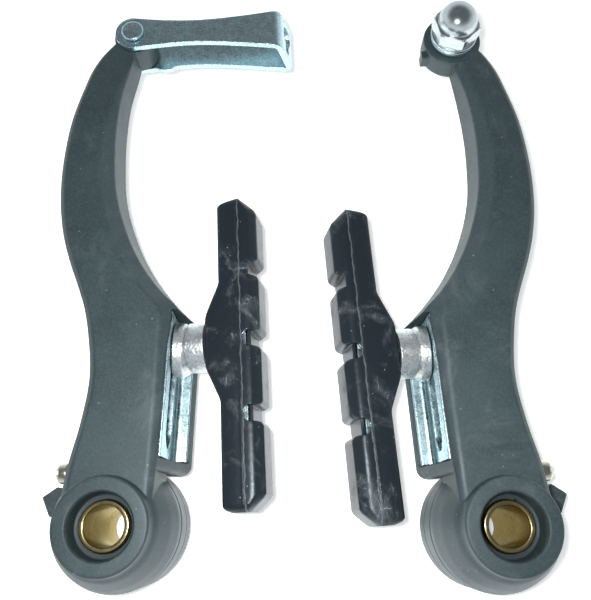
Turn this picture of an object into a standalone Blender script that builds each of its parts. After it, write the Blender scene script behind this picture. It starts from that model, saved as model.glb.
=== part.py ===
"""Linear-pull rim brake: a pair of moulded arms with pads, return springs, a noodle link and a cable anchor.

Units are metres. X points to the right, Y to the rear (towards the frame), Z up. The origin lies midway
between the two pivot axes, in the plane of the frame bosses' shoulders, on which the bushes rest.
Each arm is modelled once in its own coordinates and mirrored for the right side: x points inwards from
the pivot axis, y to the rear and z up along the arm.
"""

from math import acos, cos, pi, radians, sin, sqrt, tau

import bmesh
import bpy
from mathutils import Matrix

MM = 0.001

# Driving dimensions
STUD_SPACING = 80 * MM
STUD_BORE_RADIUS = 4.05 * MM
LEFT_LEAN = radians(1.35)
RIGHT_LEAN = radians(4.15)
GAP = 0.3 * MM
RUNNING_GAP = 0.1 * MM

# Arm, along its depth
RING_FRONT = -31 * MM
FRONT = -28 * MM
BLOCK_BACK = -8.5 * MM
BOSS_BACK = -14.3 * MM
BOSS_RADIUS = 13.4 * MM
RING_RADIUS = 9.6 * MM
RECESS_RADIUS = 6.4 * MM
RECESS_FLOOR = -25.8 * MM
BUSH_RADIUS = 5.1 * MM
BUSH_FRONT = -27.5 * MM
SPRING_RADIUS = 9.2 * MM
SPRING_WIRE = 2 * MM
SPRING_TURNS = 4
SPRING_CAVITY = (6.8 * MM, 11.6 * MM)
SPRING_CAVITY_FRONT = -23 * MM
ADJUSTER = (-14 * MM, -7.3 * MM)
COVER = (-7 * MM, -0.5 * MM)
COVER_RECESS = -2.6 * MM
PIN_OFFSET = 10.4 * MM

# Arm tips
LINK_TIP = (-4.6 * MM, 114.7 * MM)
ANCHOR_TIP = (-4.6 * MM, 114.0 * MM)
LINK_TIP_RADIUS = 4.9 * MM
LINK_TIP_BACK = -21 * MM
ANCHOR_TIP_RADIUS = 7 * MM
ANCHOR_TIP_BACK = -22.5 * MM
LINK_RELIEF_RADIUS = 11.5 * MM
RIVET_RADIUS = 2.1 * MM
ANCHOR_RADIUS = 3 * MM

# Tension screw, on the outer side of the boss
SCREW_PLACE = (0, -16.6 * MM, 10.6 * MM)
SCREW_HEAD = (-14 * MM, -11.4 * MM)
SCREW_END = -4.5 * MM

# Pad seat: the slot's centre line, and the point about which the washers tilt
SEAT = (8.9 * MM, -18.3 * MM, 38 * MM)
PLATE = (8.0 * MM, 9.8 * MM)
PLATE_Y = (-26 * MM, -10.6 * MM)
PLATE_WALL = (1.1 * MM, 13 * MM)
PLATE_Z = (13.9 * MM, 45.3 * MM)
SLOT_Z = (16.3 * MM, 42.5 * MM)
SLOT_WIDTH = 6.8 * MM
WEB_OUTER = 5.8 * MM
WEB_SLOT_WIDTH = 8.2 * MM
POCKET_Y = (-25.6 * MM, -10.4 * MM)
POCKET_Z = (12.5 * MM, 46 * MM)
FOOT = 11 * MM

# Pad and its hardware, measured inwards from the seat point
TOE = radians(-10)
LEFT_CAMBER = radians(-4.3)
RIGHT_CAMBER = radians(0.6)
DOME_INNER = 6.9 * MM
DOME_OUTER = 7.0 * MM
CUP_GAP = 0.3 * MM
STUD_RADIUS = 3 * MM
STUD = (-11 * MM, 16.4 * MM)
SPACER = 8.9 * MM
SPACER_RADIUS = 5.6 * MM
WASHER_RADIUS = 6.2 * MM
CUP_WASHER = -8 * MM
NUT = (-13.3 * MM, -8.3 * MM)
NUT_RADIUS = 4.5 * MM
NUT_SOCKET = 2.6 * MM
PAD_BACK = 9.2 * MM
PAD_SHOULDER = 12.4 * MM
PAD_FACE = 21.4 * MM
PAD_HEIGHT = 11 * MM
PAD_ENDS = (-36 * MM, 33.5 * MM)
GROOVE_SPACING = 16.2 * MM
GROOVE_WIDTH = 3.4 * MM
GROOVE_DEPTH = 1.9 * MM
BACKING = (16.8 * MM, 18.3 * MM)
BACKING_SIZE = (8.4 * MM, 60 * MM)

# Noodle link, measured from its rivet
LINK_REST = radians(3.6)
LINK_LENGTH = 38.9 * MM
LINK_FRONT = -29.7 * MM
LINK_BACK = -19.3 * MM
LINK_SHEET = 1.4 * MM
LINK_SLANT = 2.6 * MM

ROUND = 32
SMALL_ROUND = 18

parts = bpy.data.collections.new("rim_brake_caliper")
cutters = bpy.data.collections.new("cutters")


def clear_scene():
    for old in list(bpy.data.objects):
        bpy.data.objects.remove(old)
    cutters.hide_render = True
    bpy.context.scene.collection.children.link(parts)
    bpy.context.scene.collection.children.link(cutters)


def material(name, colour, roughness, metallic=0.0):
    made = bpy.data.materials.new(name)
    made.use_nodes = True
    shader = made.node_tree.nodes["Principled BSDF"]
    shader.inputs["Base Color"].default_value = (*colour, 1)
    shader.inputs["Roughness"].default_value = roughness
    shader.inputs["Metallic"].default_value = metallic
    return made


def finish(obj, parent, finish_material):
    """Gives an object its parent frame and its material, and shades its round faces smooth."""
    obj.parent = parent
    obj.data.materials.clear()
    obj.data.materials.append(finish_material)
    obj.data.shade_smooth()
    obj.data.set_sharp_from_angle(angle=radians(30))
    return obj


def add_object(name, mesh, collection):
    obj = bpy.data.objects.new(name, mesh)
    collection.objects.link(obj)
    return obj


def mesh_from(builder, name):
    shape = bmesh.new()
    builder(shape)
    mesh = bpy.data.meshes.new(name)
    shape.to_mesh(mesh)
    shape.free()
    return mesh


def box(name, x, y, z, collection=cutters):
    """A box between the two limits given along each axis."""
    size = Matrix.Diagonal((x[1] - x[0], y[1] - y[0], z[1] - z[0], 1))
    centre = Matrix.Translation(((x[0] + x[1]) / 2, (y[0] + y[1]) / 2, (z[0] + z[1]) / 2))
    mesh = mesh_from(lambda shape: bmesh.ops.create_cube(shape, size=1, matrix=centre @ size), name)
    return add_object(name, mesh, collection)


AXIS_TURNS = {
    "X": Matrix.Rotation(pi / 2, 4, "Y"),
    "Y": Matrix.Rotation(-pi / 2, 4, "X"),
}


def turned(name, profile, axis, centre=(0, 0, 0), steps=ROUND, collection=cutters):
    """Turns a profile of (radius, height along the axis), which runs down its outer side.

    A profile that starts and ends on the axis is solid; any other is closed into a ring.
    """
    mesh = bpy.data.meshes.new(name)
    edges = [(i, i + 1) for i in range(len(profile) - 1)]
    if profile[0][0] > 0:
        edges.append((len(profile) - 1, 0))
    mesh.from_pydata([(radius, 0, height) for radius, height in profile], edges, [])
    obj = add_object(name, mesh, collection)
    screw = obj.modifiers.new("turn", "SCREW")
    screw.steps = screw.render_steps = steps
    screw.use_merge_vertices = True
    screw.merge_threshold = 0.00001
    bake(obj, Matrix.Translation(centre) @ AXIS_TURNS[axis])
    return obj


def bake(obj, place=None):
    """Applies the object's modifiers, and then moves its mesh to its place."""
    graph = bpy.context.evaluated_depsgraph_get()
    mesh = bpy.data.meshes.new_from_object(obj.evaluated_get(graph))
    obj.modifiers.clear()
    obj.data = mesh
    if place is not None:
        mesh.transform(place)


def ring(name, outer, inner, low, high, axis, centre=(0, 0, 0), steps=ROUND, collection=cutters):
    profile = [(outer, high), (outer, low), (inner, low), (inner, high)]
    return turned(name, profile, axis, centre, steps, collection)


def rod(name, radius, low, high, axis, centre=(0, 0, 0), steps=ROUND, collection=cutters):
    profile = [(0, high), (radius, high), (radius, low), (0, low)]
    return turned(name, profile, axis, centre, steps, collection)


PLANES = {
    # Maps a flat outline's first and second direction, and the direction it is extruded in
    "XY": Matrix(),
    "XZ": Matrix(((1, 0, 0, 0), (0, 0, -1, 0), (0, 1, 0, 0), (0, 0, 0, 1))),
    "YZ": Matrix(((0, 0, 1, 0), (1, 0, 0, 0), (0, 1, 0, 0), (0, 0, 0, 1))),
}


def extruded(name, outline, plane, low, high, collection=cutters):
    """A flat outline in the given plane, extruded between two limits along the third axis."""
    curve = bpy.data.curves.new(name, "CURVE")
    curve.dimensions = "2D"
    curve.fill_mode = "BOTH"
    curve.extrude = (high - low) / 2
    spline = curve.splines.new("POLY")
    spline.points.add(len(outline) - 1)
    for point, (across, up) in zip(spline.points, outline):
        point.co = (across, up, 0, 1)
    spline.use_cyclic_u = True
    return curve_to_mesh(name, curve, collection, extruded_place(plane, (low + high) / 2))


def extruded_place(plane, middle):
    along = {"XY": (0, 0, middle), "XZ": (0, middle, 0), "YZ": (middle, 0, 0)}[plane]
    return Matrix.Translation(along) @ PLANES[plane]


def curve_to_mesh(name, curve, collection, place):
    source = add_object(name + "_curve", curve, cutters)
    graph = bpy.context.evaluated_depsgraph_get()
    mesh = bpy.data.meshes.new_from_object(source.evaluated_get(graph))
    bpy.data.objects.remove(source)
    shape = bmesh.new()
    shape.from_mesh(mesh)
    bmesh.ops.remove_doubles(shape, verts=shape.verts, dist=0.000001)
    bmesh.ops.recalc_face_normals(shape, faces=shape.faces)
    shape.to_mesh(mesh)
    shape.free()
    mesh.transform(place)
    mesh.name = name
    return add_object(name, mesh, collection)


def combine(obj, other, operation):
    """Adds an exact Boolean, with the other shape kept as a hidden helper in the same frame."""
    other.hide_render = True
    other.display_type = "WIRE"
    other.parent = obj.parent
    step = obj.modifiers.new(other.name, "BOOLEAN")
    step.operation = operation
    step.solver = "EXACT"
    step.object = other
    return obj


def cut(obj, *others):
    for other in others:
        combine(obj, other, "DIFFERENCE")


def join(obj, *others):
    for other in others:
        combine(obj, other, "UNION")


def stadium(width, ends, across=0.0, steps=6):
    """A slot's outline: two half circles whose outermost points lie at the two ends."""
    radius = width / 2
    outline = []
    for centre, start in ((ends[1] - radius, 0), (ends[0] + radius, pi)):
        for i in range(steps + 1):
            turn = start + pi * i / steps
            outline.append((across + radius * cos(turn), centre + radius * sin(turn)))
    return outline


def smooth_line(points, steps):
    """A Catmull-Rom curve through points of any number of coordinates."""
    line = []
    last = len(points) - 1
    for i in range(last):
        before, start, end, after = (points[max(i - 1, 0)], points[i], points[i + 1], points[min(i + 2, last)])
        for step in range(steps):
            t = step / steps
            line.append(tuple(
                (2 * b + (c - a) * t + (2 * a - 5 * b + 4 * c - d) * t**2 + (3 * b - a - 3 * c + d) * t**3) / 2
                for a, b, c, d in zip(before, start, end, after)
            ))
    line.append(tuple(points[last]))
    return line


# Sections across the arm, from the boss up to the tip, in millimetres: height, outer edge, inner edge of
# the front face, inner edge of the chamfer, inner edge at the back, and the depth of the back.
ARM_SECTIONS = (
    (3.0, -9.6, 8.0, 9.0, 9.4, -15.0),
    (10.8, -8.9, 8.0, 9.2, 9.6, -15.0),
    (11.0, -8.9, 8.0, 9.2, 13.9, -8.5),
    (20.0, -7.3, 8.0, 9.3, 13.9, -8.5),
    (30.0, -6.5, 7.9, 9.3, 13.9, -8.5),
    (38.0, -7.6, 7.6, 9.4, 13.9, -8.5),
    (45.8, -9.6, 6.6, 10.8, 13.6, -8.5),
    (50.0, -11.3, 2.6, 6.6, 8.8, -10.5),
    (55.0, -13.5, -1.5, 2.6, 4.2, -13.4),
    (60.0, -15.4, -4.2, -0.4, 0.9, -15.6),
    (66.0, -17.0, -6.6, -3.1, -1.9, -17.2),
    (74.0, -18.1, -8.9, -5.6, -4.5, -18.0),
    (83.0, -18.3, -9.8, -6.8, -5.8, -18.0),
    (92.0, -17.6, -9.5, -7.0, -6.1, -18.0),
    (100.0, -15.9, -8.0, -6.1, -5.4, -18.0),
    (106.0, -14.2, -6.6, -4.7, -4.2, -18.0),
    (110.0, -12.2, -5.4, -3.9, -3.6, -18.0),
    (113.6, -9.55, -4.9, -3.5, -3.3, -18.0),
)
# How much thinner each arm gets towards its tip, for the same last sections
LINK_ARM_THINNING = (0.9, 2.3, 2.9, 3.2, 3.4)
ANCHOR_ARM_THINNING = (0.6, 2.0, 4.1, 4.75, 4.9)
OUTER_BEVEL = 1.3 * MM
CHAMFER_DEPTH = 2.6 * MM
SMOOTH_FROM = 6


def arm_section(height, outer, crease, inner, inner_back, back):
    """The corners of one section, with a small bevel outside and the wide chamfer inside."""
    chamfer = min(CHAMFER_DEPTH, 0.8 * (inner - crease))
    return [
        (outer + OUTER_BEVEL, FRONT, height),
        (crease, FRONT, height),
        (inner, FRONT + chamfer, height),
        (inner_back, back, height),
        (outer + OUTER_BEVEL / 2, back, height),
        (outer, back - OUTER_BEVEL / 2, height),
        (outer, FRONT + OUTER_BEVEL, height),
    ]


def arm_blank(name, is_link_side):
    """A loft through the arm's sections, from inside the boss to inside the tip."""
    sections = [[value * MM for value in row] for row in ARM_SECTIONS]
    thinnings = LINK_ARM_THINNING if is_link_side else ANCHOR_ARM_THINNING
    for section, thinning in zip(sections[-len(thinnings):], thinnings):
        section[-1] -= thinning * MM
    stations = sections[:SMOOTH_FROM] + smooth_line(sections[SMOOTH_FROM:], 2)
    loops = [arm_section(*station) for station in stations]
    count = len(loops[0])
    vertices = [corner for loop in loops for corner in loop]
    faces = [tuple(range(count))[::-1], tuple(len(vertices) - count + i for i in range(count))]
    for row in range(len(loops) - 1):
        for i in range(count):
            following = (i + 1) % count
            low, high = row * count, (row + 1) * count
            faces.append((low + i, low + following, high + following, high + i))
    mesh = bpy.data.meshes.new(name)
    mesh.from_pydata(vertices, [], faces)
    shape = bmesh.new()
    shape.from_mesh(mesh)
    bmesh.ops.recalc_face_normals(shape, faces=shape.faces)
    shape.to_mesh(mesh)
    shape.free()
    return add_object(name, mesh, parts)


def add_arm(side, frame, is_link_side, black):
    arm = arm_blank(side + "_arm", is_link_side)
    finish(arm, frame, black)
    boss_profile = [
        (0, RING_FRONT), (RING_RADIUS - 1 * MM, RING_FRONT), (RING_RADIUS, RING_FRONT + 0.8 * MM),
        (RING_RADIUS, FRONT - 0.2 * MM), (RING_RADIUS + 1 * MM, FRONT + 1.2 * MM),
        (BOSS_RADIUS - 1 * MM, BOSS_BACK - 7.5 * MM), (BOSS_RADIUS, BOSS_BACK - 3 * MM),
        (BOSS_RADIUS, BOSS_BACK), (0, BOSS_BACK),
    ]
    join(arm, turned(side + "_boss", boss_profile[::-1], "Y"))
    tip = LINK_TIP if is_link_side else ANCHOR_TIP
    tip_centre = (tip[0], 0, tip[1])
    radius, back = (LINK_TIP_RADIUS, LINK_TIP_BACK) if is_link_side else (ANCHOR_TIP_RADIUS, ANCHOR_TIP_BACK)
    tip_profile = [(0, back), (radius, back), (radius, FRONT + 0.5 * MM), (radius - 0.5 * MM, FRONT), (0, FRONT)]
    join(arm, turned(side + "_tip", tip_profile, "Y", tip_centre, 24))
    cut(
        arm,
        rod(side + "_recess", RECESS_RADIUS, RING_FRONT - MM, RECESS_FLOOR, "Y"),
        rod(side + "_bush_bore", BUSH_RADIUS + RUNNING_GAP, RECESS_FLOOR - MM, 0, "Y"),
        ring(side + "_spring_room", SPRING_CAVITY[1], SPRING_CAVITY[0], SPRING_CAVITY_FRONT, 0, "Y"),
        ring(side + "_cover_room", BOSS_RADIUS + GAP, BUSH_RADIUS - 2 * MM, BOSS_BACK, 0, "Y"),
        box(side + "_plate_room", (PLATE[0] - GAP, 20 * MM), (PLATE_Y[0] - GAP, PLATE_Y[1] + GAP),
            (PLATE_Z[0] - GAP, PLATE_Z[1] + GAP)),
        box(side + "_nut_pocket", (-20 * MM, WEB_OUTER), POCKET_Y, POCKET_Z),
        extruded(side + "_web_slot", stadium(WEB_SLOT_WIDTH, (SLOT_Z[0] - 0.7 * MM, SLOT_Z[1] + 0.7 * MM), SEAT[1]),
                 "YZ", WEB_OUTER - MM, PLATE[0] + MM),
        rod(side + "_screw_hole", 1.7 * MM, -20 * MM, -4 * MM, "X", SCREW_PLACE, SMALL_ROUND),
    )
    if is_link_side:
        relief = rod(side + "_link_relief", LINK_RELIEF_RADIUS, LINK_TIP_BACK, 0, "Y", tip_centre)
        hole = rod(side + "_rivet_hole", RIVET_RADIUS + RUNNING_GAP, -40 * MM, 0, "Y", tip_centre, SMALL_ROUND)
        cut(arm, relief, hole)
    else:
        lug = box(side + "_tip_lug", (tip[0] + 4 * MM, tip[0] + 7.6 * MM), (-26.6 * MM, -23 * MM),
                  (tip[1] - 3.8 * MM, tip[1] - 1.6 * MM))
        hole = rod(side + "_bolt_hole", ANCHOR_RADIUS + RUNNING_GAP, -40 * MM, 0, "Y", tip_centre, SMALL_ROUND)
        join(arm, lug)
        cut(arm, hole)


def add_boss_parts(side, frame, still_frame, finishes):
    """The bush, the spring and its two plastic rings, the locating pin and the tension screw."""
    black, brass, steel, zinc = (finishes[name] for name in ("black", "brass", "steel", "zinc"))
    bush = ring(side + "_pivot_bush", BUSH_RADIUS, STUD_BORE_RADIUS, BUSH_FRONT, 0, "Y", collection=parts)
    finish(bush, still_frame, brass)

    adjuster = ring(side + "_spring_adjuster", BOSS_RADIUS, SPRING_CAVITY[1] + 0.2 * MM, *ADJUSTER, "Y",
                    collection=parts)
    finish(adjuster, frame, black)
    lug_outline = [(-12.4 * MM, 1.2 * MM), (-12.2 * MM, 4.4 * MM), (-14.4 * MM, 8 * MM), (-17.6 * MM, 5.6 * MM),
                   (-15.6 * MM, 1.6 * MM)]
    join(adjuster, extruded(side + "_lug", lug_outline, "XZ", ADJUSTER[0] + 0.4 * MM, ADJUSTER[1] - 0.4 * MM))

    cover_profile = [
        (BOSS_RADIUS, COVER[0]), (BOSS_RADIUS, COVER[1] - 0.8 * MM), (BOSS_RADIUS - 0.8 * MM, COVER[1]),
        (BUSH_RADIUS + GAP, COVER[1]), (BUSH_RADIUS + GAP, COVER[0]), (6.5 * MM, COVER[0]),
        (6.5 * MM, COVER_RECESS), (SPRING_CAVITY[1], COVER_RECESS), (SPRING_CAVITY[1], COVER[0]),
    ]
    cover = turned(side + "_spring_cover", cover_profile[::-1], "Y", collection=parts)
    finish(cover, still_frame, black)
    pin_place = (0, 0, PIN_OFFSET)
    cut(cover, rod(side + "_pin_hole", 1.35 * MM, -3.4 * MM, 1 * MM, "Y", pin_place, 16))
    pin = rod(side + "_locating_pin", 1.25 * MM, COVER_RECESS + 0.2 * MM, 3.5 * MM, "Y", pin_place, 16, parts)
    finish(pin, still_frame, steel)

    curve = bpy.data.curves.new(side + "_return_spring", "CURVE")
    curve.dimensions = "3D"
    curve.bevel_depth = SPRING_WIRE / 2
    curve.bevel_resolution = 2
    curve.use_fill_caps = True
    spline = curve.splines.new("POLY")
    per_turn = 10
    count = SPRING_TURNS * per_turn + 1
    spline.points.add(count - 1)
    front = SPRING_CAVITY_FRONT + SPRING_WIRE / 2 + GAP
    length = COVER_RECESS - SPRING_WIRE / 2 - GAP - front
    for i, point in enumerate(spline.points):
        turn = tau * i / per_turn
        along = front + length * i / (count - 1)
        point.co = (SPRING_RADIUS * cos(turn), along, SPRING_RADIUS * sin(turn), 1)
    spring = curve_to_mesh(side + "_return_spring", curve, parts, Matrix())
    finish(spring, frame, steel)

    screw = turned(side + "_tension_screw", [
        (0, SCREW_END), (1.5 * MM, SCREW_END), (1.5 * MM, SCREW_HEAD[1]), (2.2 * MM, SCREW_HEAD[1]),
        (2.2 * MM, SCREW_HEAD[0] + 0.9 * MM), (1.3 * MM, SCREW_HEAD[0]), (0, SCREW_HEAD[0]),
    ], "X", SCREW_PLACE, SMALL_ROUND, parts)
    finish(screw, frame, zinc)
    cut(screw, box(side + "_screw_slot", (SCREW_HEAD[0] - MM, SCREW_HEAD[0] + 0.9 * MM),
                   (SCREW_PLACE[1] - 4 * MM, SCREW_PLACE[1] + 4 * MM),
                   (SCREW_PLACE[2] - 0.35 * MM, SCREW_PLACE[2] + 0.35 * MM)))


def add_plate(side, frame, zinc):
    plate = box(side + "_arm_plate", PLATE, PLATE_Y, PLATE_Z, parts)
    finish(plate, frame, zinc)
    thickness, height = PLATE_WALL
    join(plate, box(side + "_plate_wall", (PLATE[0] + MM / 2, height), (PLATE_Y[1] - thickness, PLATE_Y[1]), PLATE_Z))
    cut(plate, extruded(side + "_plate_slot", stadium(SLOT_WIDTH, SLOT_Z, SEAT[1]), "YZ",
                        PLATE[0] - MM, PLATE[1] + MM))


def dome(radius, start, end, steps=3):
    """Points on a sphere about the seat, between two distances from the stud's axis."""
    turns = [acos(start / radius), acos(end / radius)]
    return [
        (radius * cos(turns[0] + (turns[1] - turns[0]) * i / steps),
         radius * sin(turns[0] + (turns[1] - turns[0]) * i / steps))
        for i in range(steps + 1)
    ]


def add_seat_washers(side, seat, zinc):
    """The two domed washers lie flat on the plate and on the web, with their domes away from them."""
    flat = PLATE[1] + GAP - SEAT[0]
    inner = [(WASHER_RADIUS, flat), (4.3 * MM, flat), *dome(DOME_INNER, 4.3 * MM, WASHER_RADIUS)]
    finish(turned(side + "_inner_washer", inner, "X", steps=20, collection=parts), seat, zinc)
    flat = SEAT[0] - WEB_OUTER + GAP
    outer = [(5.6 * MM, -flat), *[(r, -h) for r, h in dome(DOME_OUTER, 5.6 * MM, 4.4 * MM)], (4.4 * MM, -flat)]
    finish(turned(side + "_outer_washer", outer, "X", steps=20, collection=parts), seat, zinc)


def add_tilting_parts(side, tilt, zinc, steel):
    """The thick spacer and the cup washer, whose hollows ride on the domes, and the nut."""
    hole = STUD_RADIUS + GAP
    spacer = [(SPACER_RADIUS, SPACER), (SPACER_RADIUS, sqrt((DOME_INNER + CUP_GAP) ** 2 - 5.4**2 * MM**2)),
              *dome(DOME_INNER + CUP_GAP, 5.4 * MM, hole), (hole, SPACER)]
    finish(turned(side + "_pad_spacer", spacer, "X", steps=20, collection=parts), tilt, zinc)
    cup = [(5.2 * MM, -sqrt((DOME_OUTER + CUP_GAP) ** 2 - 5.2**2 * MM**2)), (5.2 * MM, CUP_WASHER),
           (hole, CUP_WASHER), *[(r, -h) for r, h in dome(DOME_OUTER + CUP_GAP, hole, 5 * MM)]]
    finish(turned(side + "_cup_washer", cup, "X", steps=20, collection=parts), tilt, zinc)
    nut = [(NUT_RADIUS, NUT[1]), (NUT_RADIUS, NUT[0] + 0.5 * MM), (NUT_RADIUS - 0.5 * MM, NUT[0]),
           (hole, NUT[0]), (hole, NUT[1])]
    finish(turned(side + "_pad_nut", nut, "X", steps=20, collection=parts), tilt, steel)


def pad_outline():
    """The pad seen from its side: a hump behind the stud, chamfered ends and three grooves."""
    bottom, top = PAD_ENDS
    floor = PAD_FACE - GROOVE_DEPTH
    outline = [
        (PAD_BACK, 5.8 * MM), (PAD_BACK, -5.8 * MM), (PAD_SHOULDER, -13 * MM), (PAD_SHOULDER, bottom + 1 * MM),
        (PAD_SHOULDER + 1 * MM, bottom), (PAD_FACE - 3 * MM, bottom), (PAD_FACE, bottom + 2.4 * MM),
    ]
    for centre in (-GROOVE_SPACING, 0, GROOVE_SPACING):
        low, high = centre - GROOVE_WIDTH / 2, centre + GROOVE_WIDTH / 2
        outline += [(PAD_FACE, low), (floor, low), (floor, high), (PAD_FACE, high)]
    outline += [
        (PAD_FACE, top - 2 * MM), (PAD_FACE - 2 * MM, top), (PAD_SHOULDER + 1 * MM, top),
        (PAD_SHOULDER, top - 1 * MM), (PAD_SHOULDER, 13 * MM),
    ]
    return outline


def add_pad(side, tilt, rubber, zinc, steel):
    half = PAD_HEIGHT / 2
    pad = extruded(side + "_pad", pad_outline(), "XZ", -half, half, parts)
    finish(pad, tilt, rubber)
    side_half, end_half = BACKING_SIZE[0] / 2, BACKING_SIZE[1] / 2
    cut(
        pad,
        box(side + "_backing_room", (BACKING[0] - GAP, BACKING[1] + GAP), (-side_half - GAP, side_half + GAP),
            (-end_half - GAP, end_half + GAP)),
        rod(side + "_stud_room", STUD_RADIUS + GAP, 0, BACKING[0], "X", steps=SMALL_ROUND),
    )
    for number, centre in enumerate((-GROOVE_SPACING, 0)):
        window = rod(f"{side}_window_{number}", 1.7 * MM, -10 * MM, 10 * MM, "Y",
                     (PAD_FACE - GROOVE_DEPTH - 0.2 * MM, 0, centre), 16)
        keep = box(f"{side}_window_core_{number}", (0, 40 * MM), (-side_half, side_half), (-40 * MM, 40 * MM))
        window.parent = keep.parent = tilt
        cut(window, keep)
        cut(pad, window)
    backing = box(side + "_pad_backing", BACKING, (-side_half, side_half), (-end_half, end_half), parts)
    finish(backing, tilt, zinc)
    stud = rod(side + "_pad_stud", STUD_RADIUS, *STUD, "X", steps=SMALL_ROUND, collection=parts)
    finish(stud, tilt, steel)


def link_outline():
    """One cheek of the link: a round end, a waist and a deeper square end."""
    round_end = 4.3 * MM
    steps = 10
    outline = []
    for i in range(steps + 1):
        turn = pi / 2 + pi * i / steps
        outline.append((round_end * cos(turn), round_end * sin(turn)))
    end = LINK_LENGTH + MM
    outline += smooth_line([(6 * MM, -3.6 * MM), (15 * MM, -3.1 * MM), (26 * MM, -3.8 * MM), (end, -5.2 * MM)], 2)
    outline += smooth_line([(end, 5.6 * MM), (26 * MM, 4 * MM), (15 * MM, 3.2 * MM), (6 * MM, 3.6 * MM)], 2)
    return outline


def link_plan():
    """The bent sheet from above: two cheeks joined by an end plate that slants outwards to the rear."""
    sheet, near, far = LINK_SHEET, LINK_LENGTH - LINK_SLANT, LINK_LENGTH
    corner = 0.8 * MM
    start = -6 * MM
    return [
        (start, LINK_FRONT), (near - corner, LINK_FRONT), (near, LINK_FRONT + corner), (far, LINK_BACK - corner),
        (far - corner, LINK_BACK), (start, LINK_BACK), (start, LINK_BACK - sheet), (far - 1.3 * sheet, LINK_BACK - sheet),
        (near - 0.9 * sheet, LINK_FRONT + sheet), (start, LINK_FRONT + sheet),
    ]


def add_link(link_frame, arm_frame, zinc):
    link = extruded("noodle_link", link_plan(), "XY", -8 * MM, 8 * MM, parts)
    finish(link, link_frame, zinc)
    combine(link, extruded("link_cheeks", link_outline(), "XZ", LINK_FRONT - MM, LINK_BACK + MM), "INTERSECT")
    middle = (LINK_FRONT + LINK_BACK) / 2
    cut(
        link,
        rod("link_rivet_hole", RIVET_RADIUS + 0.2 * MM, -40 * MM, 0, "Y", steps=SMALL_ROUND),
        rod("link_nose_hole", 2.5 * MM, LINK_LENGTH - 5 * MM, LINK_LENGTH + MM, "X", (0, middle, 1.2 * MM),
            SMALL_ROUND),
        box("link_key_slot", (LINK_LENGTH - 5 * MM, LINK_LENGTH + MM), (middle - 1.1 * MM, middle + 1.1 * MM),
            (-3.6 * MM, 0)),
    )
    rivet = [
        (0, LINK_BACK + 1.5 * MM), (1.9 * MM, LINK_BACK + 1.5 * MM), (2.8 * MM, LINK_BACK + 0.8 * MM),
        (2.8 * MM, LINK_BACK + GAP), (RIVET_RADIUS, LINK_BACK + GAP), (RIVET_RADIUS, LINK_FRONT - GAP),
        (2.7 * MM, LINK_FRONT - GAP), (2.7 * MM, LINK_FRONT - 0.8 * MM), (2.4 * MM, LINK_FRONT - 1.1 * MM),
        (0, LINK_FRONT - 1.1 * MM),
    ]
    made = turned("link_rivet", rivet, "Y", (LINK_TIP[0], 0, LINK_TIP[1]), SMALL_ROUND, parts)
    finish(made, arm_frame, zinc)


def add_anchor(frame, zinc):
    """The clamp for the brake cable: a bolt from behind, a toothed washer and an acorn nut."""
    place = (ANCHOR_TIP[0], 0, ANCHOR_TIP[1])
    bolt = [
        (0, -18.8 * MM), (3.6 * MM, -18.8 * MM), (4.2 * MM, -19.4 * MM), (4.2 * MM, ANCHOR_TIP_BACK + GAP),
        (ANCHOR_RADIUS, ANCHOR_TIP_BACK + GAP), (ANCHOR_RADIUS, -34.4 * MM), (0, -34.4 * MM),
    ]
    finish(turned("anchor_bolt", bolt, "Y", place, SMALL_ROUND, parts), frame, zinc)
    washer = ring("cable_washer", 5.4 * MM, ANCHOR_RADIUS + RUNNING_GAP, FRONT - GAP - 1.2 * MM, FRONT - GAP, "Y",
                  place, SMALL_ROUND, parts)
    finish(washer, frame, zinc)
    base = FRONT - 2 * GAP - 1.2 * MM
    flange = base - 0.9 * MM
    hexagon_front = base - 4.8 * MM
    nut = turned("anchor_nut", [(0, base), (5.6 * MM, base), (5.6 * MM, flange), (4.6 * MM, flange - 0.2 * MM),
                                (4.6 * MM, hexagon_front), *[
        (4.4 * MM * cos(pi / 2 * i / 6), hexagon_front - 4.2 * MM * sin(pi / 2 * i / 6)) for i in range(7)]],
        "Y", place, SMALL_ROUND, parts)
    finish(nut, frame, zinc)
    corners = [(place[0] + 5.77 * MM * cos(pi / 3 * i + 0.35), place[2] + 5.77 * MM * sin(pi / 3 * i + 0.35))
               for i in range(6)]
    join(nut, extruded("nut_hexagon", corners, "XZ", hexagon_front + 0.3 * MM, flange + 0.4 * MM))
    cut(nut, rod("nut_thread", ANCHOR_RADIUS + RUNNING_GAP, -36 * MM, 0, "Y", place, SMALL_ROUND))


def empty(name, parent, place, turn=(0, 0, 0), mirror=False):
    """A frame without a shape. Its turns are applied about Z first, then Y, then X."""
    frame = bpy.data.objects.new(name, None)
    parts.objects.link(frame)
    frame.parent = parent
    frame.location = place
    frame.rotation_mode = "ZYX"
    frame.rotation_euler = turn
    if mirror:
        frame.scale.x = -1
    return frame


def add_side(side, pivot_x, lean, camber, finishes):
    """One arm assembly, with its frames: the stud, the arm, the pad seat and the tilted pad."""
    mirror = pivot_x > 0
    still = empty(side + "_stud_frame", None, (pivot_x, 0, 0), mirror=mirror)
    arm = empty(side + "_arm_frame", still, (0, 0, 0), (0, lean, 0))
    seat = empty(side + "_seat_frame", arm, SEAT)
    tilt = empty(side + "_pad_frame", seat, (0, 0, 0), (0, camber, TOE))
    add_arm(side, arm, not mirror, finishes["black"])
    add_plate(side, arm, finishes["zinc"])
    add_boss_parts(side, arm, still, finishes)
    add_seat_washers(side, seat, finishes["zinc"])
    add_tilting_parts(side, tilt, finishes["zinc"], finishes["steel"])
    add_pad(side, tilt, finishes["rubber"], finishes["zinc"], finishes["steel"])
    return arm


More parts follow.
